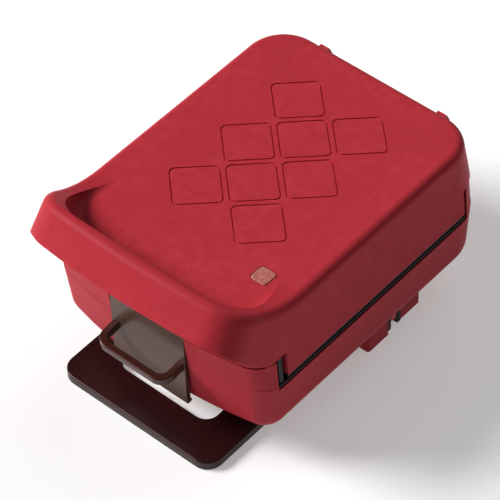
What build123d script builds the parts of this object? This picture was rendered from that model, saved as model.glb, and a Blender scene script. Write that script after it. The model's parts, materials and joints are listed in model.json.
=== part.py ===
from build123d import *
import os
from math import atan, degrees, hypot

os.makedirs("parts", exist_ok=True)

# Frame: +X to the right seen from the front, +Y to the rear, +Z up.
# The origin is on the table, under the middle of the closed cooker.

# Cooking plates, which set the size of the whole cooker, mm
plate_half_x = 61.5
plate_half_y = 63.5
plate_y = 8.0
plate_front = plate_y - plate_half_y
plate_rear = plate_y + plate_half_y
plate_corner_r = 12.0
plate_skin = 2.6
plate_wall = 2.0
land_width = 4.5
land_thick = 3.0
bowl_depth = 14.0
bowl_draft = 12.0
bowl_edge_r = 3.0
plate_split = 0.15
plate_boss_r = 3.6
plate_boss_y = (plate_front + 43.5, plate_rear - 29.5)

# Sizes used all over
foot_height = 20.0
wall = 2.6
gap_fit = 0.3
running_gap = 0.05
snug_gap = 0.02
far = 4 * (plate_half_x + plate_half_y)

# Heights of the parting lines
base_side_top = 54.4
side_gap = 6.0
skirt_bottom = base_side_top + side_gap
plate_plane = base_side_top + side_gap / 2
end_wall_top = 76.0
end_gap = 1.2
lid_low = end_wall_top + end_gap
lid_top = 105.4
crest_top = 126.0
lip_edge_z = 108.4

# Half widths and the draft of the sides
side_room = 13.1
base_draft = 2.0
lid_draft = 3.6
middle_half = plate_half_x + side_room
floor_half = middle_half - base_draft
lid_top_half = middle_half - lid_draft
lid_slope = lid_draft / (lid_top - plate_plane)
base_slope = base_draft / (plate_plane - foot_height)

# Bowed front wall and upright rear wall
front_y = plate_front - 31.7
front_bow = 9.8
front_lean = 0.1
front_corner_r = 13.6
rear_corner_r = 24.0
base_edge_r = 11.6
parting_step = 0.12
rear_y = plate_rear + 34.3
lid_rear_y = rear_y - 4.2
lid_rear_slope = 0.15

# Where the low side walls stop, and the slots beside the lid skirt
low_wall_front = plate_front - 13.5
low_wall_rear = plate_rear + 16.5
notch_front = 7.4
notch_rear = 3.2
skirt_front = low_wall_front + notch_front
skirt_rear = low_wall_rear - notch_rear

# Raised lip at the front of the lid, with a hollow behind it
lip_front = plate_front - 53.5
lip_lean = 0.6725
lip_bow = 3.0
lip_corner_r = 21.0
rise_foot = plate_front - 6.1
rise_head = plate_front - 37.5
rise_foot_r = 60.0
rise_head_r = 12.0
under_r = 10.0
dish_half = plate_half_x - 1.5
dish_front = plate_front - 30.0
dish_lean = 0.3
dish_corner_r = 20.0
dish_edge_r = 6.0
lid_edge_r = 5.0
front_skirt_high = 22.0

# Quilted diamonds in the lid
diamond_x = 43.0
diamond_y = 41.2
diamond_band = 2.3
diamond_corner_r = 4.5
groove_width = 0.9
groove_depth = 0.6
quilt_y = plate_y + 11.0

# Pilot lamp
lamp_x = plate_half_x - 14.5
lamp_y = plate_front + 7.5
lamp_size = 10.3
lamp_corner_r = 2.4
lamp_gap = 0.35
lamp_proud = 0.25
lamp_flange = 1.6
lamp_flange_thick = 1.7
lamp_cup_high = 9.0
lamp_cup_wall = 1.2
neon_r = 2.6

# Hinge
knuckle_r = 4.4
hinge_y = rear_y - 1.2
hinge_z = 72.4
fin_x = 41.0
fin_width = 6.0
fin_top = 99.4
fin_bevel = 2.5
ear_width = 4.5
ear_gap = 0.3
hinge_pin_r = 1.5

# Latch
latch_half = 25.75
latch_boss_r = 5.5
latch_front = front_y
latch_pivot_y = latch_front + latch_boss_r
latch_pivot_z = 92.0
latch_skin = 2.4
latch_recess = 3.6
latch_flange_gap = 0.8
latch_bottom = 22.6
latch_toe_reach = 3.9
latch_toe_high = 2.2
latch_pin_r = 1.5
latch_side_gap = 0.6
latch_room = 1.0
pin_hold = 5.0
spring_half = 8.0
spring_turns = 14
loop_half = 24.6
loop_root_z = 54.4
loop_tilt = 7.0
loop_reach = 16.2
loop_high = 5.0
loop_band = 4.2
loop_corner_r = 8.2
loop_tenon = 1.4
loop_edge_r = 0.7

# Heating element and the pan behind it
heater_r = 3.2
heater_half = plate_half_x - 27.5
heater_bend_r = 22.0
heater_front = plate_front + 19.5
heater_tail_y = plate_rear + 8.5
heater_gap = 0.1
pan_thick = 0.8
pan_inset = 0.5
pan_half_x = plate_half_x - pan_inset
pan_half_y = plate_half_y - pan_inset
pan_corner_r = plate_corner_r - pan_inset
bead_r = 4.8
bead_length = 7.0

# Dark inner rims
rim_rise = 2.2
rim_thick = 2.4
rim_ledge = 3.0
rim_collar = 8.0
rim_lip = 3.1
rim_back = 1.0
rim_reveal = 0.8
rim_fence_thick = 3.0
rim_fence_drop = 1.5
rim_fence_reveal = 1.4
rim_screw_x = plate_half_x + 4.5
rim_screw_y = (plate_front + 11.5, plate_rear - 9.5)
boss_r = 3.6

# Screws
screw_r = 1.3
screw_head_r = 2.4
screw_head_h = 1.4
screw_recess = 0.7
screw_bite = 6.0
rim_screw_length = 9.0
plate_screw_length = 5.0
cover_screw_length = 6.5

# Stand under the base
stand_half = plate_half_x - 7.5
stand_front = plate_front - 47.2
stand_thick = 6.0
stand_band = 22.7
stand_arm = 21.0
stand_rear = plate_y - 6.0
stand_bar = 20.0
stand_outer_r = 10.0
stand_inner_r = 8.0
stand_edge_r = 0.8
post_x = stand_half - stand_arm / 2
post_y = (plate_front + 7.5, plate_front + 43.5)
post_r = 5.5
post_seat = 2.0
spacer_y = plate_front - 6.5
spacer_x = stand_half - 5.0
spacer_length = 9.0
spacer_width = 3.5

# Side feet
foot_outer = plate_half_x + 2.9
foot_inner = plate_half_x - 7.5
foot_step = 2.0
foot_front = plate_y + 8.0
foot_rear = plate_rear - 9.5
foot_wall = 1.6
foot_roof = 2.4
foot_corner_r = 2.0
foot_screw_y = (foot_front + 8.0, foot_rear - 8.0)
foot_screw_x = (foot_outer - foot_step + foot_inner) / 2
slot_front = foot_front + 17.0
slot_rear = slot_front + 12.0
pad_width = 3.4
clip_width = 4.4
clip_drop = 11.0
clip_half = 4.0

# Bottom cover and inner parts
cover_half = heater_half
cover_front = plate_front + 15.5
cover_rear = plate_rear + 12.5
cover_thick = 2.0
cover_overlap = 8.0
cover_corner_r = 8.0
vent_length = 22.0
vent_width = 3.0
vent_pitch = 9.0
vent_count = 6
gland_x = 28.0
gland_z = 42.0
gland_r = 5.5
gland_bore_r = 3.2
gland_flange_r = 7.5
gland_flange_thick = 3.0
gland_seat_y = rear_y - 2.3
nut_thick = 2.6
thermostat_r = 8.0
thermostat_high = 6.5
thermostat_y = plate_y + 7.0
tab_x = 5.0
fuse_r = 2.0
fuse_length = 18.0
fuse_lead = 6.0
fuse_x = 30.0
fuse_y = thermostat_y + 14.0
block_half = 14.0
block_front = plate_rear + 6.5
block_rear = block_front + 11.0
block_high = 9.0
block_pitch = 9.0


def save(node, part):
    """Write one node to its own file."""
    export_step(part, "parts/" + node + ".step")


def block(x_low, x_high, y_low, y_high, z_low, z_high):
    """Box between two corners."""
    centre = Pos((x_low + x_high) / 2, (y_low + y_high) / 2, (z_low + z_high) / 2)
    return centre * Box(x_high - x_low, y_high - y_low, z_high - z_low)


def rod_x(radius, x_low, x_high, y, z):
    """Cylinder along X."""
    turned = Rot(0, 90, 0) * Cylinder(radius, x_high - x_low)
    return Pos((x_low + x_high) / 2, y, z) * turned


def rod_y(radius, x, y_low, y_high, z):
    """Cylinder along Y."""
    turned = Rot(90, 0, 0) * Cylinder(radius, y_high - y_low)
    return Pos(x, (y_low + y_high) / 2, z) * turned


def rod_z(radius, x, y, z_low, z_high):
    """Cylinder along Z."""
    return Pos(x, y, (z_low + z_high) / 2) * Cylinder(radius, z_high - z_low)


def side_shape(points, x_low, x_high, rounds=()):
    """Outline drawn in Y and Z, with some corners rounded, spread across X."""
    face = make_face(Polyline(*points, points[0]))
    for index, radius in rounds:
        corner = face.vertices().sort_by_distance((*points[index], 0))[0]
        face = fillet(corner, radius)
    return Pos(x_low, 0, 0) * extrude(Plane.YZ * face, x_high - x_low)


def plan_box(half_x, y_low, y_high, corner_r, z_low, z_high):
    """Upright box with rounded corners, centred on X = 0."""
    face = RectangleRounded(2 * half_x, y_high - y_low, corner_r)
    return Pos(0, (y_low + y_high) / 2, z_low) * extrude(face, z_high - z_low)


def uprights(form):
    """Edges of a form that run up it, from the front to the rear."""
    edges = form.edges().filter_by(lambda edge: edge.bounding_box().size.Z > 5)
    return edges.sort_by(Axis.Y)


def drafted_box(half, rear, corner_r, slope, z_start, z_end):
    """Form that narrows from one height to another, long to the front."""
    points = [(-half, -far), (half, -far), (half, rear), (-half, rear)]
    face = make_face(Polyline(*points, points[0]))
    face = fillet(face.vertices().sort_by(Axis.Y)[-2:], corner_r)
    draft = degrees(atan(slope))
    return Pos(0, 0, z_start) * extrude(face, z_end - z_start, taper=draft)


def bowed_cone(front, z, lean, bow, half, z_low, z_high):
    """Upright cone whose side is a bowed front face leaning back by lean."""
    radius = (half**2 + bow**2) / (2 * bow)
    low_r = radius - (z_low - z) * lean
    high_r = radius - (z_high - z) * lean
    cone = Cone(low_r, high_r, z_high - z_low)
    return Pos(0, front + radius, (z_low + z_high) / 2) * cone


def round_front(form, radius):
    """Round the two upright edges between the bowed front and the sides."""
    return fillet(uprights(form)[:2], radius)


def lid_half(z):
    """Half width of the lid at a height."""
    return lid_top_half + (lid_top - z) * lid_slope


def base_front(z):
    """Front of the base at a height, on the middle plane."""
    return front_y - (z - plate_plane) * front_lean


def lid_form(inset=0.0):
    """Drafted form of the lid, before the side profile trims it."""
    low = skirt_bottom - 4
    high = crest_top + 6
    face = Rectangle(2 * (lid_half(low) - inset), 2 * far)
    draft = degrees(atan(lid_slope))
    body = Pos(0, 0, low) * extrude(face, high - low, taper=draft)
    low_y = lid_rear_y + (lid_top - low) * lid_rear_slope - inset
    high_y = low_y - (high - low) * lid_rear_slope
    points = [(-far, low), (low_y, low), (high_y, high), (-far, high)]
    body = body & side_shape(points, -far, far)
    body = fillet(uprights(body)[-2:], rear_corner_r - inset)
    bow_half = middle_half - lip_corner_r
    front = lip_front + inset
    cone = bowed_cone(front, lip_edge_z, lip_lean, lip_bow, bow_half, low, high)
    return round_front(body & cone, lip_corner_r - inset)


def lid_profile():
    """Side profile: flat top, raised lip, slanted lower edge and skirt."""
    far_rear = far / 2
    far_front = -far / 2
    points = [
        (far_rear, lid_top),
        (rise_foot, lid_top),
        (rise_head, crest_top),
        (far_front, crest_top + 2),
        (far_front, lip_edge_z + 0.4),
        (lip_front + 4, lip_edge_z),
        (low_wall_front - 7, lid_low + 1),
        (low_wall_front, lid_low),
        (skirt_front, lid_low),
        (skirt_front, skirt_bottom),
        (skirt_rear, skirt_bottom),
        (skirt_rear, lid_low),
        (far_rear, lid_low),
    ]
    rounds = ((1, rise_foot_r), (2, rise_head_r), (5, under_r))
    return side_shape(points, -far, far, rounds)


def is_crest(edge):
    """True for the upper outside edges of the lid, where it is rounded."""
    spot = edge.center()
    across = abs(spot.X)
    if spot.Z < lid_top - 0.1:
        return False
    if spot.Y < rise_foot + 1.6 and spot.Z < lid_top + 6.6 and across < dish_half:
        return False
    if across < 1 and lip_front + 13 < spot.Y < rear_y - 15:
        return False
    return spot.Z > lip_edge_z + 1.1 or spot.Y > lip_front + 19


def dish():
    """Hollow behind the lip, with leaning walls and a rounded floor edge."""
    high = crest_top + 6
    length = far / 2
    face = RectangleRounded(2 * dish_half, length, dish_corner_r)
    draft = -degrees(atan(dish_lean))
    body = extrude(face, high - lid_top, taper=draft)
    floor = body.faces().sort_by(Axis.Z)[0]
    body = fillet(floor.edges(), dish_edge_r)
    return Pos(0, dish_front + length / 2, lid_top) * body


def front_skirt():
    """Wall of the lid that comes down to the base's front wall."""
    high = lid_low + front_skirt_high
    half = lid_half(lid_low) - gap_fit
    body = drafted_box(half, 0, lid_edge_r, lid_slope, lid_low, high)
    cone = bowed_cone(
        front_y, plate_plane, -front_lean, front_bow, middle_half, lid_low, high
    )
    body = round_front(body & cone, front_corner_r)
    rear = skirt_front - gap_fit
    return body & block(-far, far, -far, rear, lid_low, high)


def diamond(inset):
    """Rounded diamond, drawn in from the lattice lines by the inset."""
    half_x = diamond_x / 2
    half_y = diamond_y / 2
    side = hypot(half_x, half_y)
    tip_x = half_x - inset * side / half_y
    tip_y = half_y - inset * side / half_x
    points = [(tip_x, 0), (0, tip_y), (-tip_x, 0), (0, -tip_y)]
    face = make_face(Polyline(*points, points[0]))
    return fillet(face.vertices(), diamond_corner_r - inset)


def quilt():
    """Grooves round eight diamonds: two in the middle column, three beside."""
    outer = diamond(diamond_band / 2)
    inner = diamond(diamond_band / 2 + groove_width)
    ring = extrude(outer - inner, groove_depth + 1)
    cells = [(0, -1), (0, 1)]
    cells += [(side, row) for side in (-1, 1) for row in (-2, 0, 2)]
    grooves = []
    for column, row in cells:
        x = column * diamond_x / 2
        y = quilt_y + row * diamond_y / 2
        grooves.append(Pos(x, y, lid_top - groove_depth) * ring)
    return grooves


def lamp_plug(size, corner_r, z_low, z_high):
    """Upright rounded square at the pilot lamp."""
    face = RectangleRounded(size, size, corner_r)
    return Pos(lamp_x, lamp_y, z_low) * extrude(face, z_high - z_low)


def rim_rods(radius, z_a, z_b):
    """Upright rods at the four screws of an inner rim."""
    low = min(z_a, z_b)
    high = max(z_a, z_b)
    rods = []
    for x in (-rim_screw_x, rim_screw_x):
        for y in rim_screw_y:
            rods.append(rod_z(radius, x, y, low, high))
    return rods


def rim_face(up):
    """Height of the visible face of an inner rim."""
    return base_side_top + rim_rise if up > 0 else skirt_bottom - rim_rise


def rim_seat(up):
    """Height where an inner rim sits on the bosses of its shell."""
    return rim_face(up) - up * (rim_thick + rim_ledge)


def fin(x):
    """Rib on the lid's rear wall that carries a hinge knuckle."""
    inner = hinge_y - 3.6
    outer = hinge_y + knuckle_r
    points = [
        (inner, fin_top),
        (outer - fin_bevel, fin_top),
        (outer, fin_top - 2 * fin_bevel),
        (outer, hinge_z),
        (inner, hinge_z),
    ]
    low = x - fin_width / 2
    high = x + fin_width / 2
    knuckle = rod_x(knuckle_r, low, high, hinge_y, hinge_z)
    return side_shape(points, low, high) + knuckle


def lid_cavity():
    """Inside of the lid: one main hollow and pockets towards the lip."""
    roof = lid_top - wall
    low = skirt_bottom - 3
    floor = lid_low + wall + 0.4
    rear = skirt_front + 2 * wall
    main = block(-far, far, skirt_front + wall, far, low, roof)
    points = [
        (rear, roof),
        (lip_front + 17, roof),
        (lip_front + 23, roof - 8),
        (lip_front + 35, floor + 2),
        (lip_front + 43, floor),
        (rear, floor),
    ]
    side = latch_half + latch_side_gap + pin_hold + wall
    pockets = side_shape(points, side, far) + side_shape(points, -far, -side)
    back = latch_pivot_y + latch_boss_r + latch_room + wall
    middle = block(wall - side, side - wall, back, rear, floor, roof)
    return (main + pockets + middle) & lid_form(wall)


def lid_shell():
    """Red upper shell with lip, hollow, quilting, hinge ribs and latch slot."""
    body = lid_form() & lid_profile()
    body = fillet(body.edges().filter_by(is_crest), lid_edge_r)
    body -= dish()
    body += front_skirt()
    hollow = lid_cavity()
    body -= hollow
    roof = lid_top - wall
    body += rim_rods(boss_r, rim_seat(-1), roof + 0.5)
    body -= rim_rods(screw_r, rim_seat(-1) - 1, rim_seat(-1) + 8)
    hollow &= block(-far, far, -far, far, lid_low, far)
    body += [fin(-fin_x) - hollow, fin(fin_x) - hollow]
    bore_r = hinge_pin_r + running_gap
    body -= rod_x(bore_r, -far, far, hinge_y, hinge_z)
    slot_half = latch_half + latch_side_gap
    slot_rear = latch_pivot_y + latch_boss_r + latch_room
    slot_top = latch_pivot_z + latch_boss_r + latch_room
    body -= block(-slot_half, slot_half, -far, slot_rear, 0, slot_top)
    pin_half = slot_half + pin_hold
    bore_r = latch_pin_r + snug_gap
    body -= rod_x(bore_r, -pin_half, pin_half + 5, latch_pivot_y, latch_pivot_z)
    body -= lamp_plug(lamp_size + 2 * lamp_gap, lamp_corner_r, roof - 1, lid_top + 1)
    for groove in quilt():
        body -= groove
    return body


def base_form(inset=0.0, foot=0.0):
    """Drafted tub, widest at the parting plane, with a rounded bottom edge."""
    low = foot_height + foot
    high = end_wall_top + foot
    halves = []
    for step, slope, end in ((0, base_slope, low), (parting_step, lid_slope, high)):
        depth = inset + step
        corner = rear_corner_r - depth
        half = middle_half - depth
        box = drafted_box(half, rear_y - depth, corner, slope, plate_plane, end)
        front = front_y + depth
        cone = bowed_cone(
            front, plate_plane, -front_lean, front_bow, middle_half, low, high
        )
        halves.append(round_front(box & cone, front_corner_r - depth))
    lower, upper = halves
    rim = lower.faces().sort_by(Axis.Z)[0].edges()
    lower = fillet(rim, base_edge_r - inset)
    return lower + upper


def latch_recess_block(gap):
    """Room in the front wall for the latch plate, grown by a gap."""
    half = latch_half + latch_side_gap + gap
    return block(-half, half, -far, front_y + latch_recess + gap, 0, far)


def ear(x_low, x_high):
    """Hinge ear on the base's rear wall."""
    points = [
        (hinge_y - 2.5, hinge_z + knuckle_r),
        (hinge_y, hinge_z + knuckle_r),
        (hinge_y + knuckle_r, hinge_z),
        (hinge_y + 1.5, hinge_z - 10),
        (hinge_y - 2.5, hinge_z - 10),
    ]
    rod = rod_x(knuckle_r, x_low, x_high, hinge_y, hinge_z)
    return side_shape(points, x_low, x_high) + rod


def stand_rods(radius, z_low, z_high):
    """Upright rods at the four posts of the stand."""
    rods = []
    for x in (-post_x, post_x):
        for y in post_y:
            rods.append(rod_z(radius, x, y, z_low, z_high))
    return rods


def cover_rods(radius, z_low, z_high):
    """Upright rods at the four screws of the bottom cover."""
    rods = []
    inset = cover_overlap / 2
    for x in (inset - cover_half, cover_half - inset):
        for y in (cover_front + inset, cover_rear - inset):
            rods.append(rod_z(radius, x, y, z_low, z_high))
    return rods


def foot_rods(radius, z_low, z_high):
    """Upright rods at the screws of the two side feet."""
    rods = []
    for x in (-foot_screw_x, foot_screw_x):
        for y in foot_screw_y:
            rods.append(rod_z(radius, x, y, z_low, z_high))
    return rods


def base_shell():
    """Red tub with low side walls, raised ends, hinge ears and bosses."""
    body = base_form()
    body -= base_form(wall, wall) - latch_recess_block(wall)
    body -= block(-far, far, low_wall_front, low_wall_rear, base_side_top, far)
    body -= latch_recess_block(0)
    for side in (-1, 1):
        x = side * fin_x
        room = fin_width / 2 + ear_gap
        body += ear(x - room - ear_width, x - room)
        body += ear(x + room, x + room + ear_width)
        low = hinge_z - knuckle_r - 0.6
        body -= block(x - room, x + room, hinge_y - 7, hinge_y + 7, low, far)
        reach = room + ear_width + 1
        bore_r = hinge_pin_r + snug_gap
        body -= rod_x(bore_r, x - reach, x + reach, hinge_y, hinge_z)
    floor = foot_height + wall
    core = base_form(wall / 2, wall / 2)
    bosses = rim_rods(boss_r, floor - 0.5, rim_seat(1))
    bosses += foot_rods(boss_r, floor - 0.5, floor + 8)
    bosses += stand_rods(boss_r, floor - 0.5, floor + 8)
    bosses += cover_rods(boss_r, floor - 0.5, floor + 6)
    body += [boss & core for boss in bosses]
    body -= rim_rods(screw_r, rim_seat(1) - 8, rim_seat(1) + 1)
    low_y = cover_front + cover_overlap
    high_y = cover_rear - cover_overlap
    half = cover_half - cover_overlap
    body -= plan_box(half, low_y, high_y, 6, foot_height - 1, floor + 9)
    body -= stand_rods(screw_r, foot_height - 1, floor + 7)
    body -= cover_rods(screw_r, foot_height - 1, floor + 5)
    body -= foot_rods(screw_r, foot_height - 1, floor + 7)
    body -= rod_y(gland_r + snug_gap, gland_x, gland_seat_y - 10, far, gland_z)
    body -= rod_y(gland_flange_r + gap_fit, gland_x, gland_seat_y, far, gland_z)
    return body


def rim_fences():
    """Upright tabs of the base's rim behind the two front slots."""
    front = (low_wall_front + skirt_front - rim_fence_thick) / 2
    rear = front + rim_fence_thick
    high = end_wall_top - rim_fence_drop
    low = rim_face(1) - 0.5
    form = base_form(rim_fence_reveal)
    inner = middle_half - rear_corner_r / 2
    right = block(inner, far, front, rear, low, high) & form
    return [right, mirror(right, Plane.YZ)]


def inner_rim(up):
    """Dark frame round a cooking plate; up is 1 in the base, -1 in the lid."""
    face_z = rim_face(up)
    back_z = face_z - up * rim_thick
    ledge_z = rim_seat(up)
    if up > 0:
        room = base_form(wall + gap_fit, wall) - latch_recess_block(wall + gap_fit)
        front = low_wall_front + gap_fit
        rear = low_wall_rear - gap_fit
        over = block(-far, far, front, rear, base_side_top + running_gap, face_z)
        room += over & base_form(rim_reveal)
        flange = block(-far, far, -far, far, back_z, face_z)
    else:
        inner = skirt_front + wall + gap_fit
        room = lid_form(wall + gap_fit) & block(-far, far, inner, far, 0, far)
        front = skirt_front + gap_fit
        rear = skirt_rear - rim_back
        over = block(-far, far, front, rear, face_z, skirt_bottom - running_gap)
        room += over & lid_form(rim_reveal)
        shelf = lid_low + 0.2
        points = [
            (front, face_z),
            (rear, face_z),
            (rear, shelf),
            (far, shelf),
            (far, shelf + rim_thick),
            (rear - rim_thick, shelf + rim_thick),
            (rear - rim_thick, back_z),
            (front, back_z),
        ]
        flange = side_shape(points, -far, far)
    half_x = plate_half_x + gap_fit
    low_y = plate_y - plate_half_y - gap_fit
    high_y = plate_y + plate_half_y + gap_fit
    corner = plate_corner_r + gap_fit
    ends = sorted((face_z, face_z - up * rim_collar))
    collar = plan_box(
        half_x + wall, low_y - wall, high_y + wall, corner + wall, ends[0], ends[1]
    )
    body = flange + collar
    body -= rim_rods(boss_r + gap_fit, ledge_z, ledge_z - up * rim_collar)
    body += rim_rods(boss_r + 0.6, back_z, ledge_z)
    body = body & room
    if up > 0:
        body += rim_fences()
    seat_z = plate_plane - up * (plate_split + land_thick)
    ends = sorted((seat_z, face_z + up))
    body -= plan_box(half_x, low_y, high_y, corner, ends[0], ends[1])
    ends = sorted((face_z + up, face_z - up * (rim_collar + 1)))
    body -= plan_box(
        half_x - rim_lip, low_y + rim_lip, high_y - rim_lip, corner - rim_lip, ends[0], ends[1]
    )
    body -= rim_rods(screw_r + 0.2, face_z + up, ledge_z - up)
    body -= rim_rods(screw_head_r + 0.2, face_z - up * (screw_head_h + 0.1), face_z + up)
    return body


def cooking_plate(up):
    """Cast plate: a flat crimping land round a drafted bowl, bosses behind."""
    low_y = -plate_half_y
    land = plan_box(plate_half_x, low_y, plate_half_y, plate_corner_r, -land_thick, 0)
    mouth_x = plate_half_x - land_width
    mouth_y = plate_half_y - land_width
    mouth_r = plate_corner_r - land_width + 2
    mouth = RectangleRounded(2 * mouth_x, 2 * mouth_y, mouth_r)
    hollow = extrude(mouth, -bowl_depth, taper=bowl_draft)
    bottom = hollow.faces().sort_by(Axis.Z)[0]
    hollow = fillet(bottom.edges(), bowl_edge_r)
    grown = RectangleRounded(
        2 * (mouth_x + plate_wall), 2 * (mouth_y + plate_wall), mouth_r + plate_wall
    )
    outer = extrude(grown, -bowl_depth - plate_skin, taper=bowl_draft)
    bottom = outer.faces().sort_by(Axis.Z)[0]
    outer = fillet(bottom.edges(), bowl_edge_r)
    body = land + outer
    deep = bowl_depth + plate_skin + 2 * heater_r + heater_gap
    for y in plate_boss_y:
        body += rod_z(plate_boss_r, 0, y - plate_y, -deep, 1 - bowl_depth)
        body -= rod_z(screw_r, 0, y - plate_y, -deep - 1, -bowl_depth - 1)
    body -= hollow
    if up < 0:
        body = mirror(body, Plane.XY)
    return Pos(0, plate_y, plate_plane - up * plate_split) * body


def heater_z(up):
    """Height of the middle of a heating element."""
    deep = plate_split + bowl_depth + plate_skin + heater_gap + heater_r
    return plate_plane - up * deep


def pan_z(up):
    """Height of the inside floor of the pan behind an element."""
    return heater_z(up) - up * heater_r


def heater(up):
    """Tubular element bent to a hairpin behind a plate, ends to the rear."""
    points = [
        (-heater_half, heater_tail_y),
        (-heater_half, heater_front),
        (heater_half, heater_front),
        (heater_half, heater_tail_y),
    ]
    path = FilletPolyline(*points, radius=heater_bend_r)
    start = Plane(origin=(-heater_half, heater_tail_y, 0), z_dir=(0, -1, 0))
    tube = sweep(start * Circle(heater_r), path=path)
    return Pos(0, 0, heater_z(up)) * tube


def pan(up):
    """Thin pan that clamps a plate to its rim and sends the heat back."""
    near = pan_z(up)
    far = near - up * pan_thick
    brim = rim_face(up) - up * rim_collar
    ends = sorted((far, brim))
    low_y = plate_y - pan_half_y
    high_y = plate_y + pan_half_y
    body = plan_box(pan_half_x, low_y, high_y, pan_corner_r, ends[0], ends[1])
    ends = sorted((near, brim + up))
    inset = pan_thick
    body -= plan_box(
        pan_half_x - inset, low_y + inset, high_y - inset, pan_corner_r - inset, ends[0], ends[1]
    )
    for x in (-heater_half, heater_half):
        body -= rod_y(heater_r + 0.4, x, high_y - 4, high_y + 4, heater_z(up))
    for y in plate_boss_y:
        body -= rod_z(screw_r + 0.2, 0, y, near - 3, near + 3)
    return body


def screw(x, y, head_z, length, up):
    """Cross-head screw; up is 1 when its head is on top."""
    under = head_z - up * screw_head_h
    ends = sorted((under - up * length, under + up * 0.2))
    body = rod_z(screw_r - snug_gap, x, y, ends[0], ends[1])
    ends = sorted((under, head_z))
    body += rod_z(screw_head_r, x, y, ends[0], ends[1])
    ends = sorted((head_z - up * screw_recess, head_z + up))
    body -= block(x - 1.4, x + 1.4, y - 0.3, y + 0.3, ends[0], ends[1])
    body -= block(x - 0.3, x + 0.3, y - 1.4, y + 1.4, ends[0], ends[1])
    return body


def latch():
    """Latch: pivot barrel, face plate, side flanges and a short toe."""
    toe_top = latch_bottom + latch_toe_high
    toe_y = latch_front + latch_toe_reach
    flange_y = front_y + latch_recess - latch_flange_gap
    points = [
        (latch_front, latch_pivot_z),
        (latch_front, latch_bottom),
        (toe_y, latch_bottom),
        (toe_y, toe_top - 0.6),
        (flange_y, toe_top),
        (flange_y, lid_low + 2),
        (latch_pivot_y + latch_boss_r - 1, latch_pivot_z),
    ]
    body = side_shape(points, -latch_half, latch_half, ((1, 1.5), (2, 1.2)))
    body += rod_x(latch_boss_r, -latch_half, latch_half, latch_pivot_y, latch_pivot_z)
    skin_y = latch_front + latch_skin
    inner_half = latch_half - latch_skin
    rear = latch_pivot_y + far / 2
    low = latch_pivot_z - latch_boss_r
    body -= block(-inner_half, inner_half, skin_y, rear, toe_top, low)
    high = latch_pivot_z + latch_boss_r + 1
    body -= block(-spring_half, spring_half, skin_y, rear, low - 1, high)
    body -= loop_form(snug_gap)
    bore_r = latch_pin_r + running_gap
    body -= rod_x(bore_r, -far, far, latch_pivot_y, latch_pivot_z)
    return body


def loop_form(gap=0.0):
    """Finger loop set into the latch plate, grown by a gap."""
    tail = loop_tenon + 12
    outer = plan_box(
        loop_half + gap, -loop_reach, tail, loop_corner_r, -loop_high - gap, gap
    )
    hole = plan_box(
        loop_half - loop_band - gap,
        loop_band - loop_reach,
        2 * tail,
        loop_corner_r - loop_band + 1,
        -loop_high - 1,
        1,
    )
    body = outer - hole
    if gap == 0:
        rims = body.faces().filter_by(Axis.Z)
        body = fillet(rims.edges(), loop_edge_r)
    body = Pos(0, latch_front, loop_root_z) * Rot(loop_tilt, 0, 0) * body
    rear = latch_front + loop_tenon + gap
    return body & block(-far, far, -far, rear, 0, far)


def latch_spring():
    """Torsion spring of the latch, drawn as touching turns round the pin."""
    turns = spring_turns
    pitch = 2 * (spring_half - 0.4) / turns
    low = latch_pin_r + 0.3
    points = [(0, low)]
    for turn in range(turns):
        x = turn * pitch
        points.append((x, low + pitch * 0.7))
        points.append((x + pitch * 0.3, low + pitch))
        points.append((x + pitch * 0.7, low + pitch))
    points.append((turns * pitch, low + pitch * 0.7))
    points.append((turns * pitch, low))
    face = make_face(Polyline(*points, points[0]))
    coil = revolve(face, Axis.X)
    return Pos(-turns * pitch / 2, latch_pivot_y, latch_pivot_z) * coil


def stand():
    """Flat brown loop under the base, with posts up to it."""
    outer = plan_box(stand_half, stand_front, stand_rear, stand_outer_r, 0, stand_thick)
    hole_front = stand_front + stand_band
    hole_rear = stand_rear - stand_bar
    half = stand_half - stand_arm
    hole = plan_box(half, hole_front, hole_rear, stand_inner_r, -1, stand_thick + 1)
    body = outer - hole
    flats = body.faces().filter_by(Axis.Z)
    body = fillet(flats.edges(), stand_edge_r)
    body += stand_rods(post_r, stand_thick - 1, foot_height)
    body -= stand_rods(screw_r + 0.2, -1, foot_height + 1)
    body -= stand_rods(screw_head_r + 0.4, -1, stand_thick + post_seat)
    return body


def foot_hollows(low_x, high_x, roof):
    """Hollows in the two ends of a side foot."""
    front = block(low_x, high_x, foot_front + foot_wall, slot_front - foot_wall, -1, roof)
    high_x -= foot_step
    rear = block(low_x, high_x, slot_rear + foot_wall, foot_rear - foot_wall, -1, roof)
    return [front, rear]


def side_foot(side):
    """Hollow red foot along one side, open across its middle."""
    width = foot_outer - foot_inner
    length = foot_rear - foot_front
    middle = Pos((foot_outer + foot_inner) / 2, (foot_front + foot_rear) / 2, 0)
    face = RectangleRounded(width, length, foot_corner_r)
    body = middle * extrude(face, foot_height + base_edge_r)
    step_x = foot_outer - foot_step
    body -= block(step_x, far, slot_rear, far, -1, far)
    body -= base_form()
    roof = foot_height - foot_roof
    body -= foot_hollows(foot_inner + foot_wall, foot_outer - foot_wall, roof)
    body -= block(foot_inner - 1, foot_outer + 1, slot_front, slot_rear, -1, roof)
    for y in foot_screw_y:
        body -= rod_z(screw_r + 0.2, foot_screw_x, y, roof - 1, foot_height + 2)
    if side < 0:
        body = mirror(body, Plane.YZ)
    return body


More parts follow.
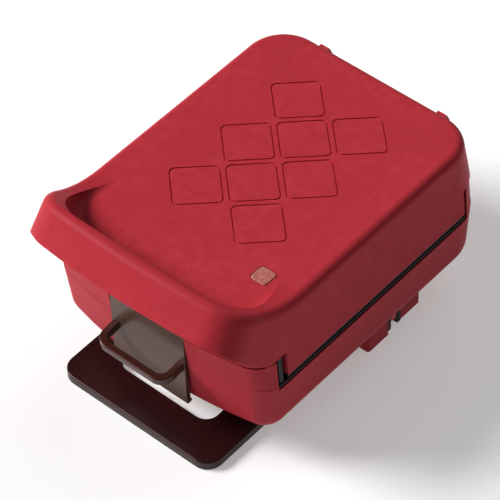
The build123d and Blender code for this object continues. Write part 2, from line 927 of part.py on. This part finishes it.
def foot_lining(side):
    """Two dark pads in the opening of a side foot."""
    centre = (foot_outer + foot_inner) / 2
    half = (foot_outer - foot_inner) / 2 - 0.5
    roof = foot_height - foot_roof - 0.1
    pads = []
    for low_y in (slot_front + 0.1, slot_rear - 0.1 - pad_width):
        pad = block(centre - half, centre + half, low_y, low_y + pad_width, 2, roof)
        pads.append(fillet(pad.edges().filter_by(Axis.Z), 0.8))
    if side < 0:
        pads = [mirror(pad, Plane.YZ) for pad in pads]
    return pads


def cord_clip(side):
    """Tongue in the opening of a side foot that holds a folded cord."""
    centre = (foot_outer + foot_inner) / 2
    y = (slot_front + slot_rear) / 2
    roof = foot_height - foot_roof - 0.1
    half = clip_width / 2
    low_x = centre - clip_half
    high_x = centre + clip_half
    body = block(low_x, high_x, y - half, y + half, roof - clip_drop, roof)
    body = fillet(body.edges().filter_by(Axis.X), 1.4)
    if side < 0:
        body = mirror(body, Plane.YZ)
    return body


def base_cover():
    """Flat steel cover under the base, with a row of vents."""
    low = foot_height - cover_thick
    body = plan_box(cover_half, cover_front, cover_rear, cover_corner_r, low, foot_height)
    count = vent_count
    middle = (cover_front + cover_rear) / 2 + 12
    for index in range(count):
        y = middle + (index - (count - 1) / 2) * vent_pitch
        slot = Pos(0, y, low - 1) * extrude(SlotOverall(vent_length, vent_width), 4)
        body -= slot
    body -= cover_rods(screw_r + 0.2, low - 1, foot_height + 1)
    return body


def lamp_lens():
    """Clear lens of the pilot lamp, held by a flange under the lid's roof."""
    roof = lid_top - wall
    body = lamp_plug(lamp_size, lamp_corner_r - lamp_gap, roof - 1, lid_top + lamp_proud)
    top = body.faces().sort_by(Axis.Z)[-1]
    body = fillet(top.edges(), 0.5)
    size = lamp_size + 2 * lamp_flange + 1
    low = roof - 0.1 - lamp_flange_thick
    body += lamp_plug(size, lamp_corner_r + 1, low, roof - 0.1)
    return body


def lamp_cup():
    """Cup under the lens that holds the glow lamp."""
    high = lid_top - wall - 0.1 - lamp_flange_thick
    low = high - lamp_cup_high
    size = lamp_size + 2 * lamp_flange + 1
    body = lamp_plug(size, lamp_corner_r + 1, low, high)
    inner = size - 2 * lamp_cup_wall
    body -= lamp_plug(inner, lamp_corner_r, low + lamp_cup_wall, high + 1)
    body -= rod_z(neon_r + 0.1, lamp_x, lamp_y, low - 1, low + 2)
    return body


def neon():
    """Glow lamp standing in its cup."""
    low = lid_top - wall - 0.1 - lamp_flange_thick - lamp_cup_high
    body = rod_z(neon_r, lamp_x, lamp_y, low - 3, low + 5)
    return body + Pos(lamp_x, lamp_y, low + 5) * Sphere(neon_r)


def hinge_pin(side):
    """Pin through two ears and the knuckle between them."""
    reach = fin_width / 2 + ear_gap + ear_width - 0.2
    x = side * fin_x
    body = rod_x(hinge_pin_r, x - reach, x + reach, hinge_y, hinge_z)
    return chamfer(body.edges(), 0.3)


def cord_gland():
    """Bushing for a cord in the rear wall, with its nut inside."""
    nut_y = rear_y - (plate_plane - gland_z) * base_slope - wall - 1.0
    flange_y = gland_seat_y + gland_flange_thick
    body = rod_y(gland_r, gland_x, nut_y - 4, flange_y, gland_z)
    body += rod_y(gland_flange_r, gland_x, gland_seat_y + 0.02, flange_y, gland_z)
    outer = body.faces().sort_by(Axis.Y)[-1]
    body = fillet(outer.edges().sort_by(SortBy.RADIUS)[-1], 1.0)
    body -= rod_y(gland_bore_r, gland_x, nut_y - 20, far, gland_z)
    return body


def gland_nut():
    """Hexagon nut of the cord gland."""
    nut_y = rear_y - (plate_plane - gland_z) * base_slope - wall - 1.0
    ring = RegularPolygon(gland_flange_r, 6) - Circle(gland_r + snug_gap)
    body = extrude(ring, nut_thick)
    return Pos(gland_x, nut_y, gland_z) * Rot(90, 0, 0) * body


def thermostat():
    """Disc thermostat on the back of the lower pan, with two tabs."""
    top = pan_z(1) - pan_thick - 0.05
    body = rod_z(thermostat_r, 0, thermostat_y, top - thermostat_high, top)
    body += rod_z(thermostat_r - 2, 0, thermostat_y, top - thermostat_high - 1.2, top - 2)
    for x in (-tab_x, tab_x):
        low = top - thermostat_high - 4
        body += block(x - 0.4, x + 0.4, thermostat_y - 2.5, thermostat_y + 2.5, low, top - 3)
    return body


def thermal_fuse():
    """Small tubular fuse lying against the lower pan."""
    z = pan_z(1) - pan_thick - fuse_r - 0.1
    half = fuse_length / 2
    body = rod_x(fuse_r, fuse_x - half, fuse_x + half, fuse_y, z)
    half += fuse_lead
    return body + rod_x(0.5, fuse_x - half, fuse_x + half, fuse_y, z)


def terminal_block():
    """Three-way terminal block on the floor of the base."""
    floor = foot_height + wall + 0.05
    top = floor + block_high
    body = block(-block_half, block_half, block_front, block_rear, floor, top)
    for x in (-block_pitch, 0.0, block_pitch):
        body -= rod_y(1.8, x, block_front - 1, block_rear + 1, floor + 3.4)
        body -= rod_z(1.9, x, (block_front + block_rear) / 2, floor + 4, top + 1)
    for x in (-block_pitch / 2, block_pitch / 2):
        body -= block(x - 0.6, x + 0.6, block_front - 1, block_rear + 1, top - 2.5, top + 1)
    return body


def beads(up):
    """Ceramic beads on the two ends of an element."""
    rings = []
    rear = heater_tail_y - 1
    for x in (-heater_half, heater_half):
        bead = rod_y(bead_r, x, rear - bead_length, rear, heater_z(up))
        bead -= rod_y(heater_r + snug_gap, x, rear - 20, rear + 5, heater_z(up))
        rings.append(bead)
    return rings


def spacer(side):
    """Pale block between the stand and the base."""
    x = side * spacer_x
    low_x = x - spacer_length / 2
    high_x = x + spacer_length / 2
    low_y = spacer_y - spacer_width / 2
    high_y = spacer_y + spacer_width / 2
    body = block(low_x, high_x, low_y, high_y, stand_thick + 0.02, foot_height - 0.02)
    return fillet(body.edges().filter_by(Axis.Z), 0.8)


def group(parts):
    """Several separate solids in one node."""
    return Compound(children=list(parts))


save("lid_shell", lid_shell())
save("base_shell", base_shell())
save("lid_rim", inner_rim(-1))
save("base_rim", inner_rim(1))
save("upper_plate", cooking_plate(-1))
save("lower_plate", cooking_plate(1))
save("upper_element", heater(-1))
save("lower_element", heater(1))
save("upper_pan", pan(-1))
save("lower_pan", pan(1))
save("upper_beads", group(beads(-1)))
save("lower_beads", group(beads(1)))
save("latch", latch())
save("latch_loop", loop_form())
latch_pin_half = latch_half + latch_side_gap + pin_hold - 0.2
pin = rod_x(latch_pin_r, -latch_pin_half, latch_pin_half, latch_pivot_y, latch_pivot_z)
save("latch_pin", pin)
save("latch_spring", latch_spring())
save("hinge_pins", group([hinge_pin(-1), hinge_pin(1)]))
save("lamp_lens", lamp_lens())
save("lamp_cup", lamp_cup())
save("lamp_neon", neon())
save("stand_frame", stand())
save("stand_spacers", group([spacer(-1), spacer(1)]))
save("foot_left", side_foot(-1))
save("foot_right", side_foot(1))
save("foot_pads", group(foot_lining(-1) + foot_lining(1)))
save("cord_clips", group([cord_clip(-1), cord_clip(1)]))
save("base_cover", base_cover())
save("cord_gland", cord_gland())
save("gland_nut", gland_nut())
save("thermostat", thermostat())
save("thermal_fuse", thermal_fuse())
save("terminal_block", terminal_block())

lid_screws = []
base_screws = []
for x in (-rim_screw_x, rim_screw_x):
    for y in rim_screw_y:
        base_screws.append(screw(x, y, rim_face(1) - 0.1, rim_screw_length, 1))
        lid_screws.append(screw(x, y, rim_face(-1) + 0.1, rim_screw_length, -1))
save("base_rim_screws", group(base_screws))
save("lid_rim_screws", group(lid_screws))

upper_screws = []
lower_screws = []
for y in plate_boss_y:
    head_z = pan_z(1) - pan_thick - screw_head_h
    lower_screws.append(screw(0, y, head_z, plate_screw_length, -1))
    head_z = pan_z(-1) + pan_thick + screw_head_h
    upper_screws.append(screw(0, y, head_z, plate_screw_length, 1))
save("lower_plate_screws", group(lower_screws))
save("upper_plate_screws", group(upper_screws))

cover_screws = []
inset = cover_overlap / 2
for x in (inset - cover_half, cover_half - inset):
    for y in (cover_front + inset, cover_rear - inset):
        head_z = foot_height - cover_thick - screw_head_h
        cover_screws.append(screw(x, y, head_z, cover_screw_length, -1))
save("cover_screws", group(cover_screws))

stand_screws = []
for x in (-post_x, post_x):
    for y in post_y:
        seat_z = stand_thick + post_seat
        length = foot_height - seat_z + screw_bite
        stand_screws.append(screw(x, y, seat_z - screw_head_h, length, -1))
save("stand_screws", group(stand_screws))

foot_screws = []
for x in (-foot_screw_x, foot_screw_x):
    for y in foot_screw_y:
        seat_z = foot_height - foot_roof
        length = foot_roof + screw_bite
        foot_screws.append(screw(x, y, seat_z - screw_head_h, length, -1))
save("foot_screws", group(foot_screws))
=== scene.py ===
import json
import math

import bpy
from mathutils import Matrix, Vector

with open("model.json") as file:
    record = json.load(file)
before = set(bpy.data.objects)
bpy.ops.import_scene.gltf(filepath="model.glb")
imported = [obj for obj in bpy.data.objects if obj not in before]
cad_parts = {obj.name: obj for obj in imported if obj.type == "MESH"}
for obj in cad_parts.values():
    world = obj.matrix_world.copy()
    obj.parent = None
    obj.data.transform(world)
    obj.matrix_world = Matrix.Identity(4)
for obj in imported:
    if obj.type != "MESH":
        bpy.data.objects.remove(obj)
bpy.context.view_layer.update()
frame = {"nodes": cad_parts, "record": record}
nodes = frame["nodes"]

MM = 0.001
MM_PER_M = 1000
WHITE = (1, 1, 1)


# Camera, at the photograph's angle

PHOTO_PX = 500
SENSOR_MM = 36


def make_camera():
    """The view that fits the photograph's outlines, aimed at the lid's top."""
    azimuth = 0.738759
    elevation = 0.829306
    roll = -0.0349066
    distance = 1470.297 * MM
    aim = Vector((0, 19.0, 105.4)) * MM
    shift_right = -15.0842 * MM
    shift_up = -47.1583 * MM
    focal_px = 2793.747
    side = Vector((math.cos(azimuth), math.sin(azimuth), 0))
    flat = math.cos(elevation)
    ahead = Vector((
        -math.sin(azimuth) * flat,
        math.cos(azimuth) * flat,
        -math.sin(elevation),
    ))
    above = side.cross(ahead)
    right = math.cos(roll) * side + math.sin(roll) * above
    up = math.cos(roll) * above - math.sin(roll) * side
    place = aim - distance * ahead + shift_right * right + shift_up * up
    turn = Matrix((right, up, -ahead)).transposed().to_4x4()
    data = bpy.data.cameras.new("camera")
    data.sensor_width = SENSOR_MM
    data.lens = SENSOR_MM * focal_px / PHOTO_PX
    camera = bpy.data.objects.new("camera", data)
    camera.matrix_world = Matrix.Translation(place) @ turn
    bpy.context.scene.collection.objects.link(camera)
    bpy.context.scene.camera = camera


# Materials

# Most values of a noise lie between these two.
NOISE_LOW = 0.3
NOISE_HIGH = 0.7

# Sockets of a Mix node that blends colours.
MIX_FIRST = 6
MIX_SECOND = 7
MIX_RESULT = 2

# Pointiness where an edge starts to look rubbed, and where it is so in full.
RUBBED_FROM = 0.515
RUBBED_FULL = 0.56

# The box round the grooves of the lid's diamond quilting, as ranges of x, y and z in
# mm. Its top is just under the lid's flat face, so that only the grooves lie in it. The
# grooves in it get painted light: a lighter colour that softens their shade.
QUILT_BOX = ((-46, 46), (-46, 84), (104.6, 105.34))

DUST = (0.45, 0.4, 0.38)
RED = (0.415, 0.0335, 0.0475)
BROWN_SHEEN = (1.0, 0.84, 0.8)


class Mix:
    """A new material's nodes, with short calls for the ones used here."""

    def __init__(self, name):
        self.material = bpy.data.materials.new(name)
        self.material.use_nodes = True
        self.tree = self.material.node_tree
        self.tree.nodes.clear()
        self.shader = self.add("ShaderNodeBsdfPrincipled")
        output = self.add("ShaderNodeOutputMaterial")
        self.link(self.shader.outputs[0], output.inputs[0])
        self.coords = self.add("ShaderNodeTexCoord").outputs["Object"]

    def add(self, kind):
        return self.tree.nodes.new(kind)

    def link(self, source, target):
        self.tree.links.new(source, target)

    def set(self, socket, value):
        """Give one of the shader's sockets the same value all over."""
        self.shader.inputs[socket].default_value = value

    def glow(self, strength):
        """White light from the surface itself."""
        self.set("Emission Color", (*WHITE, 1))
        self.set("Emission Strength", strength)

    def noise(self, size_mm, detail=3.0, rough=0.5, stretch=(1, 1, 1), warp=0.0):
        mapping = self.add("ShaderNodeMapping")
        mapping.inputs["Scale"].default_value = stretch
        self.link(self.coords, mapping.inputs["Vector"])
        node = self.add("ShaderNodeTexNoise")
        node.inputs["Scale"].default_value = MM_PER_M / size_mm
        node.inputs["Detail"].default_value = detail
        node.inputs["Roughness"].default_value = rough
        node.inputs["Distortion"].default_value = warp
        self.link(mapping.outputs[0], node.inputs["Vector"])
        return node.outputs["Fac"]

    def cells(self, size_mm):
        node = self.add("ShaderNodeTexVoronoi")
        node.inputs["Scale"].default_value = MM_PER_M / size_mm
        self.link(self.coords, node.inputs["Vector"])
        return node.outputs["Distance"]

    def span(self, value, low, high, to_low, to_high):
        """Stretch low to high over to_low to to_high, with what is beyond cut off."""
        node = self.add("ShaderNodeMapRange")
        node.inputs["From Min"].default_value = low
        node.inputs["From Max"].default_value = high
        node.inputs["To Min"].default_value = to_low
        node.inputs["To Max"].default_value = to_high
        self.link(value, node.inputs["Value"])
        return node.outputs[0]

    def vary(self, noise, to_low, to_high):
        """Stretch nearly all of a noise over a range."""
        return self.span(noise, NOISE_LOW, NOISE_HIGH, to_low, to_high)

    def join(self, kind, first, second):
        """Math on a socket and a second socket or number."""
        node = self.add("ShaderNodeMath")
        node.operation = kind
        self.link(first, node.inputs[0])
        if isinstance(second, float):
            node.inputs[1].default_value = second
        else:
            self.link(second, node.inputs[1])
        return node.outputs[0]

    def blend(self, factor, first, second):
        """Go from one colour or socket to another."""
        node = self.add("ShaderNodeMix")
        node.data_type = "RGBA"
        self.link(factor, node.inputs[0])
        for index, colour in ((MIX_FIRST, first), (MIX_SECOND, second)):
            if isinstance(colour, tuple):
                node.inputs[index].default_value = (*colour, 1)
            else:
                self.link(colour, node.inputs[index])
        return node.outputs[MIX_RESULT]

    def tones(self, noise, first, second):
        """Go from one colour to another as a noise does."""
        return self.blend(self.vary(noise, 0.0, 1.0), first, second)

    def edges(self):
        """0 on flat and hollow places, up to 1 on edges that stand out."""
        pointiness = self.add("ShaderNodeNewGeometry").outputs["Pointiness"]
        return self.span(pointiness, RUBBED_FROM, RUBBED_FULL, 0.0, 1.0)

    def inside(self, axis, low, high):
        """1 where the object coordinate lies between two places, in mm."""
        parts = self.add("ShaderNodeSeparateXYZ")
        self.link(self.coords, parts.inputs[0])
        place = parts.outputs[axis]
        above = self.join("GREATER_THAN", place, low * MM)
        below = self.join("LESS_THAN", place, high * MM)
        return self.join("MULTIPLY", above, below)

    def grooves(self):
        """1 in the grooves of the lid's diamond quilting, which get painted light."""
        x, y, z = (
            self.inside(axis, low, high)
            for axis, (low, high) in enumerate(QUILT_BOX)
        )
        return self.join("MULTIPLY", self.join("MULTIPLY", x, y), z)

    def bumps(self, *layers):
        """Each layer is a height, its depth in mm and its strength."""
        normal = None
        for height, depth_mm, strength in layers:
            node = self.add("ShaderNodeBump")
            node.inputs["Distance"].default_value = depth_mm * MM
            node.inputs["Strength"].default_value = strength
            self.link(height, node.inputs["Height"])
            if normal is not None:
                self.link(normal, node.inputs["Normal"])
            normal = node.outputs[0]
        self.link(normal, self.shader.inputs["Normal"])

    def colour(self, source):
        self.link(source, self.shader.inputs["Base Color"])

    def rough(self, source):
        self.link(source, self.shader.inputs["Roughness"])


def scaled(colour, factor):
    return tuple(channel * factor for channel in colour)


def moulded(name, colour, rough, grain_mm, grain_depth, spread=0.06,
            specular=0.5, dusty=0.2, sheen=WHITE, painted_groove_light=False):
    """Moulded plastic: fine grain, faint flow tones, rubbed edges and dust; grooves can
    be painted lighter to soften their shade.
    """
    cell_mm = 1.7 * grain_mm
    cell_depth = 0.6 * grain_depth
    rough_spread = 0.015
    mix = Mix(name)
    flow = mix.noise(38, detail=2.0, rough=0.45, stretch=(1, 0.45, 1), warp=0.6)
    cloud = mix.noise(7, detail=4.0, rough=0.6)
    grain = mix.noise(grain_mm, detail=2.0, rough=0.6)
    cell = mix.cells(cell_mm)

    flow_tone = mix.vary(flow, 0.0, 0.7)
    cloud_tone = mix.span(cloud, 0.35, 0.65, 0.0, 0.3)
    tone = mix.join("ADD", flow_tone, cloud_tone)
    base = mix.blend(tone, scaled(colour, 1 - spread), scaled(colour, 1 + spread))
    patchy = mix.span(cloud, 0.4, 0.62, 0.0, 0.35)
    rubbed = mix.join("MULTIPLY", mix.edges(), patchy)
    pale = tuple(min(1.0, channel * 1.25 + 0.015) for channel in colour)
    base = mix.blend(rubbed, base, pale)
    specks = mix.span(mix.noise(0.45, detail=1.0), 0.76, 0.8, 0.0, dusty)
    base = mix.blend(specks, base, DUST)
    # Painted light: the grooves are painted 1.35 times lighter, to soften the shade
    # that falls in them.
    if painted_groove_light:
        base = mix.blend(mix.grooves(), base, scaled(colour, 1.35))
    mix.colour(base)

    handled = mix.vary(cloud, rough - rough_spread, rough + rough_spread)
    grainy = mix.vary(grain, -rough_spread, rough_spread)
    mix.rough(mix.join("ADD", handled, grainy))
    mix.bumps(
        (grain, grain_depth, 0.6),
        (cell, cell_depth, 0.35),
        (flow, 0.02, 0.03),
    )
    mix.set("Specular IOR Level", specular)
    mix.set("Specular Tint", (*sheen, 1))
    return mix.material


def brushed(name, colour, rough, along):
    """Drawn or pressed metal: fine lines along one axis, spots and marks."""
    mix = Mix(name)
    lines = mix.noise(0.5, rough=0.6, stretch=along)
    spots = mix.noise(5, detail=4.0, rough=0.6)
    base = mix.tones(spots, scaled(colour, 0.9), colour)
    streaks = mix.vary(lines, 0.0, 0.35)
    mix.colour(mix.blend(streaks, base, scaled(colour, 0.75)))
    handled = mix.vary(spots, rough - 0.05, rough + 0.07)
    mix.rough(mix.join("ADD", handled, mix.vary(lines, -0.05, 0.05)))
    mix.bumps((lines, 0.02, 0.5), (spots, 0.04, 0.2))
    mix.set("Metallic", 1.0)
    return mix.material


def coated(name, colour, rough):
    """Non-stick coating: orange peel, sparse sparkle and a few rubbed places."""
    mix = Mix(name)
    peel = mix.noise(1.6, detail=2.0)
    cloud = mix.noise(22)
    fleck = mix.span(mix.noise(0.35, detail=1.0), 0.68, 0.74, 0.0, 0.5)
    base = mix.tones(cloud, scaled(colour, 0.8), scaled(colour, 1.25))
    mix.colour(mix.blend(fleck, base, (0.2, 0.2, 0.21)))
    mix.rough(mix.vary(cloud, rough - 0.05, rough + 0.08))
    mix.bumps((peel, 0.06, 0.5), (cloud, 0.1, 0.15))
    return mix.material


def element_skin(name):
    """Sheathed heating tube: dull steel with heat tints and scale."""
    steel = (0.23, 0.2, 0.17)
    heat_blue = (0.12, 0.13, 0.17)
    scale_grey = (0.33, 0.3, 0.27)
    mix = Mix(name)
    bands = mix.noise(26, rough=0.55)
    scale = mix.noise(1.2, detail=4.0, rough=0.65)
    tint = mix.blend(mix.span(bands, 0.35, 0.65, 0.0, 1.0), steel, heat_blue)
    flakes = mix.span(scale, 0.45, 0.65, 0.0, 0.5)
    mix.colour(mix.blend(flakes, tint, scale_grey))
    mix.rough(mix.vary(scale, 0.38, 0.6))
    mix.bumps((scale, 0.03, 0.6))
    mix.set("Metallic", 0.85)
    return mix.material


def ceramic(name, colour):
    """Unglazed ceramic with fine pores."""
    mix = Mix(name)
    pores = mix.cells(0.5)
    cloud = mix.noise(3)
    mix.colour(mix.tones(cloud, scaled(colour, 0.88), colour))
    mix.rough(mix.vary(cloud, 0.6, 0.8))
    mix.bumps((pores, 0.03, 0.5))
    return mix.material


def lens(name):
    """Frosted pinkish lens with a small faceted pattern inside."""
    facet_pale = (0.5, 0.19, 0.16)
    facet_deep = (0.4, 0.12, 0.1)
    haze = (0.55, 0.24, 0.2)
    mix = Mix(name)
    facets = mix.cells(1.3)
    cloud = mix.noise(2.4, detail=2.0)
    inner = mix.blend(mix.span(facets, 0.1, 0.6, 0.0, 1.0), facet_pale, facet_deep)
    mix.colour(mix.blend(mix.span(cloud, 0.35, 0.65, 0.0, 0.4), inner, haze))
    mix.rough(mix.vary(cloud, 0.2, 0.32))
    mix.bumps((facets, 0.06, 0.25))
    mix.set("Coat Weight", 0.5)
    mix.set("Coat Roughness", 0.14)
    mix.set("Subsurface Weight", 0.15)
    mix.set("Subsurface Scale", 2 * MM)
    return mix.material


def glow_glass(name):
    """Small glass bulb, slightly amber, with streaks."""
    amber = (0.9, 0.66, 0.5)
    clear = (0.95, 0.85, 0.78)
    mix = Mix(name)
    streak = mix.noise(2, detail=2.0, stretch=(1, 1, 0.3))
    mix.colour(mix.tones(streak, amber, clear))
    mix.rough(mix.vary(streak, 0.04, 0.12))
    mix.set("Transmission Weight", 0.8)
    mix.set("IOR", 1.48)
    return mix.material


def rubber(name, colour):
    """Matte rubber with a fine open grain."""
    mix = Mix(name)
    grain = mix.noise(0.4, rough=0.7)
    cloud = mix.noise(6)
    mix.colour(mix.tones(cloud, scaled(colour, 0.8), scaled(colour, 1.3)))
    mix.rough(mix.vary(cloud, 0.68, 0.85))
    mix.bumps((grain, 0.03, 0.7))
    return mix.material


def enamel(name, colour):
    """Baked enamel on sheet steel with orange peel."""
    mix = Mix(name)
    peel = mix.noise(1.1, detail=2.0)
    cloud = mix.noise(15)
    mix.colour(mix.tones(cloud, scaled(colour, 0.85), scaled(colour, 1.2)))
    mix.rough(mix.vary(cloud, 0.38, 0.5))
    mix.bumps((peel, 0.03, 0.5))
    return mix.material


def floor_material():
    """Pale paper that glows a little, so that its shadow stays light."""
    mix = Mix("floor_paper")
    fibre = mix.noise(1.5)
    cloud = mix.noise(120, detail=2.0)
    mix.colour(mix.tones(cloud, scaled(WHITE, 0.59), scaled(WHITE, 0.61)))
    mix.rough(mix.vary(fibre, 0.85, 0.95))
    mix.bumps((fibre, 0.01, 0.1))
    mix.set("Specular IOR Level", 0.15)
    mix.glow(0.38)
    return mix.material


def backdrop_material():
    """Evenly glowing paper, seen behind the floor in low views."""
    mix = Mix("backdrop_paper")
    cloud = mix.noise(900, detail=2.0)
    mix.colour(mix.tones(cloud, scaled(WHITE, 0.0), scaled(WHITE, 0.01)))
    mix.rough(mix.vary(cloud, 0.9, 0.95))
    mix.set("Specular IOR Level", 0.0)
    mix.glow(1.0)
    return mix.material


# What each material slot of the record is made of: the kind, then its values.
FINISHES = {
    "red_shell": (moulded, dict(
        colour=RED, rough=0.5, grain_mm=0.45, grain_depth=0.005,
        spread=0.015, specular=0.1, dusty=0.03, painted_groove_light=True)),
    "dark_rim": (moulded, dict(
        colour=(0.017, 0.017, 0.018), rough=0.42, grain_mm=0.4, grain_depth=0.012,
        specular=0.3)),
    "plate_coat": (coated, dict(colour=(0.03, 0.03, 0.032), rough=0.36)),
    "element": (element_skin, dict()),
    "pan_metal": (brushed, dict(
        colour=(0.72, 0.72, 0.7), rough=0.3, along=(1, 0.05, 1))),
    "ceramic": (ceramic, dict(colour=(0.82, 0.8, 0.73))),
    "latch_brown": (moulded, dict(
        colour=(0.08, 0.04, 0.029), rough=0.24, grain_mm=0.4, grain_depth=0.005,
        sheen=BROWN_SHEEN)),
    "loop_brown": (moulded, dict(
        colour=(0.05, 0.015, 0.011), rough=0.25, grain_mm=0.4, grain_depth=0.005,
        sheen=BROWN_SHEEN)),
    "pin_steel": (brushed, dict(
        colour=(0.56, 0.56, 0.55), rough=0.32, along=(0.06, 1, 1))),
    "lamp_clear": (lens, dict()),
    "cup_white": (moulded, dict(
        colour=(0.75, 0.73, 0.68), rough=0.5, grain_mm=0.5, grain_depth=0.01)),
    "lamp_glass": (glow_glass, dict()),
    "stand_brown": (moulded, dict(
        colour=(0.024, 0.0045, 0.0055), rough=0.34, grain_mm=0.4, grain_depth=0.01,
        sheen=BROWN_SHEEN)),
    "spacer_grey": (moulded, dict(
        colour=(0.5, 0.48, 0.45), rough=0.55, grain_mm=0.5, grain_depth=0.012)),
    "rubber_dark": (rubber, dict(colour=(0.03, 0.03, 0.031))),
    "clip_red": (moulded, dict(
        colour=(0.62, 0.03, 0.03), rough=0.4, grain_mm=0.4, grain_depth=0.01)),
    "cover_steel": (enamel, dict(colour=(0.035, 0.035, 0.036))),
    "gland_black": (moulded, dict(
        colour=(0.018, 0.018, 0.018), rough=0.45, grain_mm=0.4, grain_depth=0.012)),
    "block_cream": (moulded, dict(
        colour=(0.72, 0.67, 0.52), rough=0.5, grain_mm=0.5, grain_depth=0.01)),
    "fuse_metal": (brushed, dict(
        colour=(0.7, 0.7, 0.68), rough=0.35, along=(0.06, 1, 1))),
}


def dress_nodes():
    """Give every CAD node the finish of its slot in the record."""
    finishes = {slot: kind(slot, **values) for slot, (kind, values) in FINISHES.items()}
    subparts = frame["record"]["subparts"]
    slots = {entry["node"]: entry["material_slot"] for entry in subparts}
    for name, thing in nodes.items():
        thing.data.materials.clear()
        thing.data.materials.append(finishes[slots[name]])


# Floor, backdrop and light

def set_piece(name, corners, faces, material):
    """Make a plain mesh object."""
    mesh = bpy.data.meshes.new(name)
    mesh.from_pydata(corners, [], faces)
    piece = bpy.data.objects.new(name, mesh)
    piece.data.materials.append(material)
    bpy.context.scene.collection.objects.link(piece)
    return piece


def make_floor():
    """A square sheet, wide enough to reach the horizon of any view."""
    half = 30.0
    corners = [(-half, -half, 0), (half, -half, 0), (half, half, 0), (-half, half, 0)]
    floor = set_piece("floor", corners, [(0, 1, 2, 3)], floor_material())


def make_backdrop():
    """A ring on the floor, seen by the camera alone, so that it lights nothing."""
    radius = 8.0
    high = 4.0
    count = 72
    corners = []
    faces = []
    for step in range(count):
        angle = math.tau * step / count
        for z in (0.0, high):
            corners.append((radius * math.cos(angle), radius * math.sin(angle), z))
        first = 2 * step
        second = 2 * ((step + 1) % count)
        faces.append((first, second, second + 1, first + 1))
    backdrop = set_piece("backdrop", corners, faces, backdrop_material())
    backdrop.visible_diffuse = False
    backdrop.visible_glossy = False
    backdrop.visible_transmission = False
    backdrop.visible_shadow = False


def soft_light(name, place, width_deg, strength):
    """A wide distant light, which lights the floor evenly as far as it goes."""
    data = bpy.data.lights.new(name, "SUN")
    data.angle = math.radians(width_deg)
    data.energy = strength
    light = bpy.data.objects.new(name, data)
    place = Vector(place)
    aim = (-place).to_track_quat("-Z", "Y").to_matrix().to_4x4()
    light.matrix_world = Matrix.Translation(place) @ aim
    bpy.context.scene.collection.objects.link(light)


def make_lights():
    """A key from the front left, a fill from behind and a faint even world."""
    world = bpy.data.worlds.new("studio")
    world.use_nodes = True
    background = world.node_tree.nodes["Background"]
    background.inputs["Color"].default_value = (*WHITE, 1)
    background.inputs["Strength"].default_value = 0.015
    bpy.context.scene.world = world
    bpy.context.scene.view_settings.view_transform = "Standard"
    bpy.context.scene.view_settings.gamma = 0.9
    soft_light("key", place=(-1.04, -0.64, 0.96), width_deg=24, strength=4.6)
    soft_light("back", place=(0.1, 1.1, 1.14), width_deg=60, strength=0.8)


dress_nodes()
make_camera()
make_floor()
make_backdrop()
make_lights()
